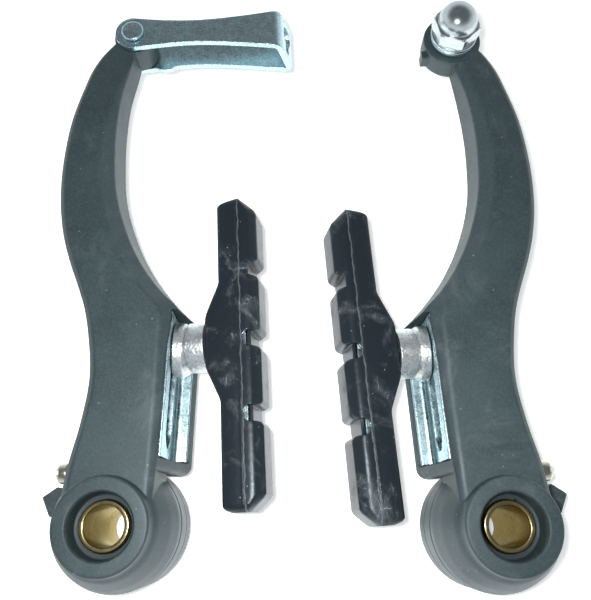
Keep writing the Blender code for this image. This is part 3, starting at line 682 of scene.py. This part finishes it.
def plate_section():
    """An L-shaped section with a rounded inner corner, carried straight up: a flat seat and a rear wall."""
    corners = [(8, -26), (9.8, -26), (9.8, -11.7), (13, -11.7), (13, -10.6), (8, -10.6)]
    section = rounded(corners, (0.3, 0.3, 1.6, 0.4, 0.4, 1.2), 6)
    height = np.array((13.9, 45.3))[:, None, None] * np.ones((2, len(section), 1))
    return np.concatenate([np.broadcast_to(section, (2, *section.shape)), height], -1)


class BRAKE_OT_arm_plates(bpy.types.Operator):
    """Builds the slotted steel plates that the pads are clamped against"""

    bl_idname = "brake.arm_plates"
    bl_label = "Slotted plates"

    def execute(self, context):
        for side in SIDES:
            plate = mesh_object(side.name + "_slotted_plate", [(plate_section(), True, True)], side.arm)
            slot = prism("slot", stadium(6.8, 16.3, 42.5, SEAT[1]), "YZ", 6, 12, side.arm)
            combine(plate, [slot], "DIFFERENCE")
            soften(plate, 0.25, 3)
            show(plate, "zinc_plate", side.name + "_arm", side.name + "_arm_plate")
        return {"FINISHED"}


class BRAKE_OT_pivots(bpy.types.Operator):
    """Builds the bushes, the spring housings with their springs, the pins and the tension screws"""

    bl_idname = "brake.pivots"
    bl_label = "Pivots"

    def execute(self, context):
        for side in SIDES:
            self.make_bush(side)
            self.make_housing(side)
            self.make_spring(side)
            self.make_screw(side)
        return {"FINISHED"}

    def make_bush(self, side):
        bush = turned_ring(side.name + "_brass_bush", [(5.1, 0), (5.1, -27.5), (4.05, -27.5), (4.05, 0)], "Y",
                           side.stud, cut=0.28, steps=96)
        show(bush, "brass_bush", "frame_side", side.name + "_pivot_bush")

    def make_housing(self, side):
        adjuster = turned_ring(side.name + "_adjuster_ring",
                               [(13.4, -7.3), (13.4, -14), (11.8, -14), (11.8, -7.3)], "Y", side.arm,
                               cut=0.22, steps=96)
        outline = rounded([(-12.4, 1.2), (-12.2, 4.4), (-14.4, 8), (-17.6, 5.6), (-15.6, 1.6)], 0.35, 3)
        lug = prism("adjuster lug", outline, "XZ", -13.6, -7.7, side.arm)
        combine(adjuster, [lug], "UNION")
        show(adjuster, "black_nylon", side.name + "_arm", side.name + "_spring_adjuster")
        cover = turned_ring(side.name + "_cover_ring", [
            (13.4, -7), (11.6, -7), (11.6, -2.6), (6.5, -2.6), (6.5, -7), (5.4, -7), (5.4, -0.5),
            (12.4, -0.5), (13.4, -1.5)], "Y", side.stud, cut=0.22, steps=96)
        hole = plain_rod("pin hole", 1.35, -3.4, 1, "Y", side.stud, (0, 0, 10.4), 32)
        combine(cover, [hole], "DIFFERENCE")
        show(cover, "black_nylon", "frame_side", side.name + "_spring_cover")
        pin = turned(side.name + "_pin", [(0, -2.4), (1.25, -2.4), (1.25, 3.5), (0, 3.5)], "Y", side.stud,
                     (0, 0, 10.4), 0.3, 32)
        show(pin, "spring_steel", "frame_side", side.name + "_locating_pin")

    def make_spring(self, side):
        """A circle of wire carried along a helix, whose distance along the axis grows with the angle."""
        turn = np.linspace(0, 4 * tau, 240)
        around = np.linspace(0, tau, 14, endpoint=False)
        start, end = -21.7, -3.9
        along = start + (end - start) * turn / turn[-1]
        radius = 9.2 + np.cos(around)[None, :]
        points = np.stack([radius * np.cos(turn)[:, None], along[:, None] + np.sin(around)[None, :],
                           radius * np.sin(turn)[:, None]], -1)
        spring = mesh_object(side.name + "_coil_spring", [(points, True, True)], side.arm)
        show(spring, "spring_steel", side.name + "_arm", side.name + "_return_spring")

    def make_screw(self, side):
        """A cheese head with a domed top, its slot, and its shank."""
        screw = turned(side.name + "_slotted_screw", [
            (0, -14), (1.5, -13.95), (2.2, -13.2), (2.2, -11.4), (1.5, -11.4), (1.5, -4.5), (0, -4.5)],
            "X", side.arm, (0, -16.6, 10.6), 0.35, 48)
        slot = block("slot", (-15, -13.1), (-20.6, -12.6), (10.25, 10.95), side.arm)
        combine(screw, [slot], "DIFFERENCE")
        show(screw, "nickel_screw", side.name + "_tension_screw", side.name + "_tension_screw")


PAD_BACK = 9.2
PAD_SHOULDER = 12.4
PAD_FACE = 21.4
PAD_PARTING = 17.0
PAD_LOW, PAD_HIGH = -36.0, 33.5
GROOVES = (-16.2, 0.0, 16.2)
# Distance from a groove's middle, and depth below the braking face
GROOVE_EDGE = np.array((
    (1.6, 2.0), (1.64, 1.5), (1.7, 0.9), (1.82, 0.55), (2.05, 0.28), (2.4, 0.09), (2.8, 0.0)))


def pad_surface(ridge):
    """Sections along the pad: a back, two flanks that meet at the mould line, a bevel and the braking face.

    The back runs from the hump to the shoulder in straight slopes, and the face dips to a flat floor in
    each groove. Towards both ends the back and the face close in on the mould line.
    """
    groove_steps = np.concatenate([-GROOVE_EDGE[::-1, 0], [0], GROOVE_EDGE[:, 0]])
    z = np.unique(np.concatenate([
        np.linspace(PAD_LOW, PAD_LOW + 3.4, 18), np.linspace(PAD_LOW + 3.6, PAD_HIGH - 4.4, 90),
        np.linspace(PAD_HIGH - 4.2, PAD_HIGH, 20), *[centre + groove_steps for centre in GROOVES]]))
    back = np.interp(z, (PAD_LOW, PAD_LOW + 0.5, PAD_LOW + 1.2, -13.4, -12.4, -6.4, -5.2, 5.2, 6.4, 12.4,
                         13.4, PAD_HIGH - 1.9, PAD_HIGH - 1.2, PAD_HIGH),
                     (14.2, 13.0, PAD_SHOULDER, PAD_SHOULDER, 12.1, 9.5, PAD_BACK, PAD_BACK, 9.5, 12.1,
                      PAD_SHOULDER, PAD_SHOULDER, 12.9, 16.2))
    face = np.interp(z, (PAD_LOW, PAD_LOW + 2.6, PAD_LOW + 3.4, PAD_HIGH - 4.2, PAD_HIGH - 3.2, PAD_HIGH),
                     (18.0, 20.9, PAD_FACE, PAD_FACE, 21.0, 17.8))
    nearest = np.abs(z[:, None] - np.array(GROOVES)[None, :]).min(axis=1)
    depth = np.interp(nearest, *GROOVE_EDGE.T)
    floor = face - depth
    end = np.interp(z, (PAD_LOW, PAD_LOW + 0.7, PAD_LOW + 1.6, PAD_HIGH - 1.6, PAD_HIGH - 0.7, PAD_HIGH),
                    (0.82, 0.96, 1.0, 1.0, 0.96, 0.82))
    half = np.array(((0.0, 5.1), (0.42, 5.35), (0.6, 5.5 - ridge), (0.605, 5.5), (0.63, 5.5),
                     (0.635, 5.5 - ridge), (0.76, 5.35), (0.84, 5.15), (1.0, 3.7)))
    mould = np.interp(half[:, 0], (0, 0.6175, 1), (0, 0.5, 1))
    low_part = back[:, None] + (PAD_PARTING - back)[:, None] * np.clip(mould * 2, 0, 1)
    x = low_part + (face - PAD_PARTING)[:, None] * np.clip(mould * 2 - 1, 0, 1)
    x = np.minimum(x, floor[:, None])
    y = half[:, 1][None, :] * end[:, None]
    across = np.concatenate([np.stack([x, y], -1), np.stack([x, -y], -1)[:, ::-1]], axis=1)
    cuts = np.r_[0.9, 0.9, 0.08, 0.08, 0.08, 0.08, 0.5, 0.5, 0.55]
    section = rounded(across, np.r_[cuts, cuts[::-1]], 3)
    height = z[:, None, None].repeat(section.shape[1], axis=1)
    return np.concatenate([section, height], -1)


def mould_line():
    """The flash left round the pad where the mould halves met: a round bead carried once round the pad.

    The bead wanders by small sines of its own length, and swells where it turns round the upper end.
    """
    low, high, side = PAD_LOW + 0.15, PAD_HIGH - 0.1, 5.42
    loop = rounded([(-side, low), (side, low), (side, high), (-side, high)], 1.5, 6)
    closed = np.concatenate([loop, loop[:1]])
    length = np.r_[0, np.cumsum(np.linalg.norm(np.diff(closed, axis=0), axis=1))]
    at = np.linspace(0, length[-1], 420)
    y, z = (np.interp(at, length, closed[:, i]) for i in (0, 1))
    sway = 0.13 * np.sin(at * 0.9) * np.sin(at * 0.23 + 1) + 0.05 * np.sin(at * 3.1)
    nub = np.exp(-((z - high) / 0.5) ** 2) * np.exp(-((y / 1.2) ** 2))
    thick = 0.15 + 0.03 * np.sin(at * 1.7) + 0.45 * nub
    is_flank = np.abs(y) > side - 0.6
    outward = np.stack([np.zeros_like(y), np.sign(y) * is_flank, np.sign(z) * ~is_flank], -1)
    around = np.linspace(0, tau, 8, endpoint=False)[None, :, None]
    ring = np.cos(around) * np.array((1.3, 0, 0)) + np.sin(around) * outward[:, None, :]
    middle = np.stack([PAD_PARTING + 0.4 + sway, y, z], -1)
    return middle[:, None, :] + thick[:, None, None] * ring


class BRAKE_OT_pads(bpy.types.Operator):
    """Builds the rubber pads, and finishes their backing plates and studs"""

    bl_idname = "brake.pads"
    bl_label = "Pads"

    def execute(self, context):
        ridge = context.scene.brake_shape.ridge / MM
        for side in SIDES:
            pad = mesh_object(side.name + "_rubber_pad", [(pad_surface(ridge), True, True)], side.pad)
            tools = [
                block("backing room", (16.5, 18.6), (-4.5, 4.5), (-30.3, 30.3), side.pad),
                plain_rod("stud room", 3.3, 0, 16.8, "X", side.pad, steps=40),
            ]
            for number, centre in enumerate(GROOVES[:2]):
                for low, high in ((-9.0, -4.3), (4.3, 9.0)):
                    tools.append(plain_rod(f"window {number} {low}", 1.75, low, high, "Y", side.pad,
                                           (19.1, 0, centre), 40))
            combine(pad, tools, "DIFFERENCE")
            show(pad, "black_rubber", side.name + "_pad", side.name + "_pad")
            line = mesh_object(side.name + "_mould_line", [(mould_line(), True, False)], side.pad)
            show(line, "worn_rubber", side.name + "_pad", slot="black_rubber")
            repaint(side.name + "_pad_backing", "zinc_plate")
            stud = turned(side.name + "_threaded_stud", [(0, -11), (3, -11), (3, 16.4), (0, 16.4)], "X",
                          side.pad, cut=0.5, steps=40)
            show(stud, "zinc_plate", side.name + "_pad", side.name + "_pad_stud")
        return {"FINISHED"}


def sphere_points(radius, start, end, steps=10):
    """Points on a sphere about the seat, between two distances from the stud's axis."""
    turn = np.linspace(np.arccos(start / radius), np.arccos(end / radius), steps)
    return np.stack([radius * np.cos(turn), radius * np.sin(turn)], -1)


class BRAKE_OT_pad_hardware(bpy.types.Operator):
    """Builds the domed washers, the sleeves and cups that tilt on them, and the pad nuts"""

    bl_idname = "brake.pad_hardware"
    bl_label = "Pad hardware"

    def execute(self, context):
        for side in SIDES:
            clamp, tilt = side.name + "_pad_clamp", side.name + "_pad_tilt"
            flip = np.array((1, -1))
            inner = self.ring(side.name + "_domed_washer", np.concatenate([
                [(6.2, 1.2), (4.3, 1.2)], sphere_points(6.9, 4.3, 6.2)]), side.seat)
            outer = self.ring(side.name + "_back_washer", np.concatenate([
                [(5.6, -3.4)], sphere_points(7.0, 5.6, 4.4) * flip, [(4.4, -3.4)]]), side.seat)
            sleeve = self.ring(side.name + "_sleeve", np.concatenate([
                [(5.5, 8.9), (5.6, 8.6), (5.6, 4.95)], sphere_points(7.2, 5.4, 3.3), [(3.3, 8.9)]]), side.pad)
            cup = self.ring(side.name + "_cup", np.concatenate([
                [(5.2, -5.15), (5.2, -8), (3.3, -8)], sphere_points(7.3, 3.3, 5.0) * flip]), side.pad)
            show(inner, "rough_zinc", clamp, side.name + "_inner_washer")
            show(outer, "rough_zinc", clamp, side.name + "_outer_washer")
            show(sleeve, "rough_zinc", tilt, side.name + "_pad_spacer")
            show(cup, "rough_zinc", tilt, side.name + "_cup_washer")
            self.make_nut(side, tilt)
        return {"FINISHED"}

    def ring(self, name, profile, place):
        profile = np.concatenate([profile, profile[:1]])
        return mesh_object(name, [(lathe(profile, "X", steps=96), True, False)], place)

    def make_nut(self, side, body):
        """A hexagon cut off by a cone at its outer end, with a bore for the stud."""
        profile = np.array(((3.3, -8.3), (4.3, -8.3), (4.5, -8.5), (4.5, -12.8), (4.0, -13.3), (3.6, -13.3),
                            (3.3, -13.0), (3.3, -8.3)))
        apothem = np.where((profile[:, 0] > 3.9), 4.0, 99.0)
        surface = lathe(profile, "X", steps=96, apothem=apothem)
        nut = mesh_object(side.name + "_lock_nut", [(surface, True, False)], side.pad)
        show(nut, "zinc_plate", body, side.name + "_pad_nut", angle=25)


LINK_LENGTH = 38.9
LINK_ROUND = 4.3
LINK_FRONT = -29.7
LINK_REAR = -19.3
LINK_SHEET = 1.4
LINK_SLANT = 2.6


def link_sheet():
    """The middle of the sheet, as a strip carried along a U: front cheek, end plate and rear cheek.

    Along the path the strip's lower and upper edges follow the cheek's outline, a half circle about the
    rivet and then a slight waist. The path turns the two corners on quarter circles.
    """
    half = LINK_SHEET / 2
    front, rear = LINK_FRONT + half, LINK_REAR - half
    near_end, far_end = LINK_LENGTH - LINK_SLANT - half - 0.1, LINK_LENGTH - half
    corners = [(-LINK_ROUND, front), (near_end, front), (far_end, rear), (-LINK_ROUND, rear)]
    bends = rounded(corners, (0, 1.5, 1.5, 0), 9, is_closed=False)
    ahead, behind = bends[10:20], bends[20:30]
    round_x = -LINK_ROUND * np.cos(np.linspace(0, 0.5 * pi, 24))
    near_x = np.concatenate([round_x, np.linspace(0.6, ahead[0, 0] - 0.5, 40)])
    far_x = np.concatenate([np.linspace(behind[-1, 0] - 0.5, 0.6, 40), round_x[::-1]])
    plate = ahead[-1] + (behind[0] - ahead[-1]) * np.linspace(0.08, 0.92, 12)[:, None]
    near = np.concatenate([np.stack([near_x, np.full_like(near_x, front)], -1), ahead, plate])
    far = np.concatenate([behind, np.stack([far_x, np.full_like(far_x, rear)], -1)])
    path = np.concatenate([near, far])
    x = path[:, 0]
    tabbed = np.r_[np.zeros(len(near)), np.ones(len(far))]
    tab = tabbed * 0.7 * np.exp(-(((x - 6.8) / 1.9) ** 6))
    low = -curve_through((0, 6, 15, 26, 38, 42), (LINK_ROUND, 3.6, 3.1, 3.8, 5.1, 5.3), x) - tab
    high = curve_through((0, 6, 15, 26, 38, 42), (LINK_ROUND, 3.6, 3.2, 4.0, 5.5, 5.7), x)
    round_end = np.sqrt(np.clip(LINK_ROUND**2 - np.minimum(x, 0) ** 2, 0.02, None))
    low, high = np.where(x < 0, -round_end, low), np.where(x < 0, round_end, high)
    t = np.linspace(0, 1, 13)
    height = low[:, None] + (high - low)[:, None] * t
    flat = np.repeat(path[:, None, :], len(t), axis=1)
    return np.concatenate([flat, height[..., None]], -1)


class BRAKE_OT_link(bpy.types.Operator):
    """Builds the noodle link and its rivet"""

    bl_idname = "brake.link"
    bl_label = "Noodle link"

    def execute(self, context):
        link = mesh_object("bent_link", [(link_sheet(), False, False)], LINK_PLACE)
        wall = link.modifiers.new("sheet", "SOLIDIFY")
        wall.thickness = LINK_SHEET * MM
        wall.offset = 0
        wall.use_even_offset = True
        bake(link)
        clean(link.data)
        middle = (LINK_FRONT + LINK_REAR) / 2
        plate = (LINK_LENGTH - 5, LINK_LENGTH + 1)
        tools = [
            plain_rod("rivet hole", 2.3, -40, 0, "Y", LINK_PLACE, steps=40),
            plain_rod("nose hole", 2.5, *plate, "X", LINK_PLACE, (0, middle, 1.2), 40),
            block("key slot", plate, (middle - 1.1, middle + 1.1), (-3.6, 0), LINK_PLACE, 0.5),
        ]
        combine(link, tools, "DIFFERENCE")
        soften(link, 0.22, 2, 50)
        show(link, "zinc_plate", "noodle_link", "noodle_link")
        rivet = turned("peened_rivet", [
            (0, -17.7), (1.6, -17.8), (2.7, -18.4), (2.8, -19.0), (2.1, -19.0), (2.1, -30.0), (2.7, -30.0),
            (2.7, -30.5), (2.35, -30.8), (0, -30.85)], "Y", SIDES[0].arm, LINK_TIP, 0.25, 64)
        show(rivet, "zinc_plate", "left_arm", "link_rivet")
        return {"FINISHED"}


class BRAKE_OT_cable_anchor(bpy.types.Operator):
    """Builds the bolt, the washer and the acorn nut that clamp the cable"""

    bl_idname = "brake.cable_anchor"
    bl_label = "Cable anchor"

    def execute(self, context):
        place, centre = SIDES[1].arm, ANCHOR_TIP
        bolt = turned("clamp_bolt", [
            (0, -18.8), (3.6, -18.8), (4.2, -19.4), (4.2, -22.2), (3, -22.2), (3, -34.4), (0, -34.4)],
            "Y", place, centre, 0.35, 72)
        show(bolt, "zinc_plate", "right_arm", "anchor_bolt")
        washer = turned_ring("clamp_washer", [(5.4, -28.3), (5.4, -29.5), (3.1, -29.5), (3.1, -28.3)], "Y",
                             place, centre, 0.3, 72)
        show(washer, "zinc_plate", "right_arm", "cable_washer")
        self.make_nut(place, centre)
        return {"FINISHED"}

    def make_nut(self, place, centre):
        """A flange, a hexagon chamfered by cones at both ends, and a dome that is a half ellipse."""
        base, flange, front = -29.8, -30.7, -34.6
        turn = np.linspace(0.12, pi / 2, 16)
        dome = np.stack([4.55 * np.cos(turn), front - 0.35 - 4.2 * np.sin(turn)], -1)
        body = np.array((
            (3.1, base), (5.4, base), (5.6, base - 0.2), (5.6, flange + 0.2), (5.45, flange),
            (5.2, flange - 0.05), (5.35, flange - 0.1), (5.77, flange - 0.45), (5.77, front + 0.5),
            (5.3, front + 0.12), (4.9, front), (4.6, front - 0.1)))
        bore = np.array(((0, front - 1.5), (2.6, front - 1.2), (3.1, front - 0.6), (3.1, base)))
        profile = np.concatenate([bore, body[1:], dome])
        hexed = np.zeros(len(profile), bool)
        hexed[len(bore) + 4:len(bore) + 9] = True
        apothem = np.where(hexed, 5.0, 99.0)
        surface = lathe(profile, "Y", centre, 144, apothem, 0.35 + pi / 6)
        nut = mesh_object("acorn_nut", [(surface, True, False)], place)
        show(nut, "bright_nut", "right_arm", "anchor_nut", angle=24)


# Stage

CARD_Y, CARD_HALF = 4.2, 900.0
FLASH = (-0.011, -0.176, 0.004)
LIT_POINT = (0, -0.01, 0.05)


def area_light(name, place, size, power, colour):
    """A round lamp that faces the middle of the brake."""
    light = bpy.data.lights.new(name, "AREA")
    light.shape = "DISK"
    light.size = size
    light.energy = power
    light.color = colour
    obj = bpy.data.objects.new(name, light)
    bpy.context.scene.collection.objects.link(obj)
    obj.location = place
    obj.rotation_euler = (Vector(LIT_POINT) - Vector(place)).to_track_quat("-Z", "Y").to_euler()
    return obj


def paper_material(colour):
    """Matt white card with a faint fibre. Seen from behind it lets the view through."""
    made, nodes, shader = new_material("white_card")
    place = nodes.add("TexCoord").outputs["Object"]
    fibre = nodes.add("TexNoise", {"Vector": place, "Scale": 900.0, "Detail": 3.0})
    tone = nodes.steps(fibre.outputs["Fac"], 0.3, 0.7)
    nodes.fill(shader, {
        "Base Color": nodes.mix(tone, scaled(colour, 0.985), scaled(colour, 1.015)), "Roughness": 0.9,
        "Specular IOR Level": 0.1, "Emission Color": (1, 1, 1, 1), "Emission Strength": 0.45})
    clear = nodes.add("BsdfTransparent")
    behind = nodes.add("NewGeometry").outputs["Backfacing"]
    mixed = nodes.add("MixShader", {0: behind, 1: shader.outputs[0], 2: clear.outputs[0]})
    nodes.fill(made.node_tree.nodes["Material Output"], {"Surface": mixed.outputs[0]})
    return made


class BRAKE_OT_stage(bpy.types.Operator):
    """Builds the card behind the brake, the lights and the camera"""

    bl_idname = "brake.stage"
    bl_label = "Stage"

    def execute(self, context):
        stage = context.scene.brake_stage
        ends = (-CARD_HALF, CARD_HALF)
        corners = np.array([[(x, CARD_Y, z) for x in ends] for z in ends])
        card = mesh_object("white_card", [(corners, False, False)], Place((0, 0, 0), np.eye(3)))
        if card.data.polygons[0].normal.y > 0:
            card.data.flip_normals()
        card.data.materials.append(paper_material(stage.paper))
        key = area_light("key", FLASH, 0.012, stage.key, (0.93, 0.98, 1.0))
        key.visible_glossy = False
        area_light("glint", FLASH, 0.012, stage.glint, (1.0, 1.0, 1.0))
        fill = area_light("fill", (0.3, -0.25, 0.3), 0.2, stage.fill, (0.92, 0.97, 1.0))
        fill.visible_glossy = False
        world = bpy.data.worlds.new("surroundings")
        world.use_nodes = True
        nodes = Nodes(world.node_tree)
        around = nodes.add("SeparateXYZ", {0: nodes.add("TexCoord").outputs["Generated"]})
        ahead = nodes.steps(around.outputs["Y"], -0.75, -0.1, stage.dark, 1.0)
        nodes.fill(world.node_tree.nodes["Background"], {
            "Color": (0.93, 0.97, 1.0, 1), "Strength": nodes.maths("MULTIPLY", ahead, stage.sky)})
        context.scene.world = world
        camera = bpy.data.cameras.new("camera")
        camera.lens = 42
        camera.sensor_width = 36
        camera.clip_start = 0.01
        viewer = bpy.data.objects.new("camera", camera)
        viewer.location = (-0.0022, -0.1722, -0.0002)
        viewer.rotation_euler = (radians(108), 0, 0)
        context.scene.collection.objects.link(viewer)
        context.scene.camera = viewer
        context.scene.view_settings.view_transform = "Standard"
        return {"FINISHED"}


STEPS = ("arms", "arm_plates", "pivots", "pads", "pad_hardware", "link", "cable_anchor", "stage")


class BRAKE_PT_sidebar(bpy.types.Panel):
    """Lists the settings and the steps"""

    bl_idname = "BRAKE_PT_sidebar"
    bl_label = "Brake"
    bl_space_type = "VIEW_3D"
    bl_region_type = "UI"
    bl_category = "Brake"

    def draw(self, context):
        column = self.layout.column()
        for group in (context.scene.brake_shape, context.scene.brake_finish, context.scene.brake_stage):
            for name in group.bl_rna.properties.keys():
                if name not in ("rna_type", "name"):
                    column.prop(group, name)
        for step in STEPS:
            column.operator("brake." + step)


CLASSES = (
    BrakeShape, BrakeFinish, BrakeStage, BRAKE_OT_arms, BRAKE_OT_arm_plates, BRAKE_OT_pivots, BRAKE_OT_pads,
    BRAKE_OT_pad_hardware, BRAKE_OT_link, BRAKE_OT_cable_anchor, BRAKE_OT_stage, BRAKE_PT_sidebar,
)


def register():
    for made in CLASSES:
        bpy.utils.register_class(made)
    bpy.types.Scene.brake_shape = bpy.props.PointerProperty(type=BrakeShape)
    bpy.types.Scene.brake_finish = bpy.props.PointerProperty(type=BrakeFinish)
    bpy.types.Scene.brake_stage = bpy.props.PointerProperty(type=BrakeStage)


def unregister():
    del bpy.types.Scene.brake_stage
    del bpy.types.Scene.brake_finish
    del bpy.types.Scene.brake_shape
    for made in reversed(CLASSES):
        bpy.utils.unregister_class(made)


def main():
    register()
    FINISHES.update(build_finishes(bpy.context.scene.brake_finish))
    for step in STEPS:
        getattr(bpy.ops.brake, step)()


if __name__ == "__main__":
    main()
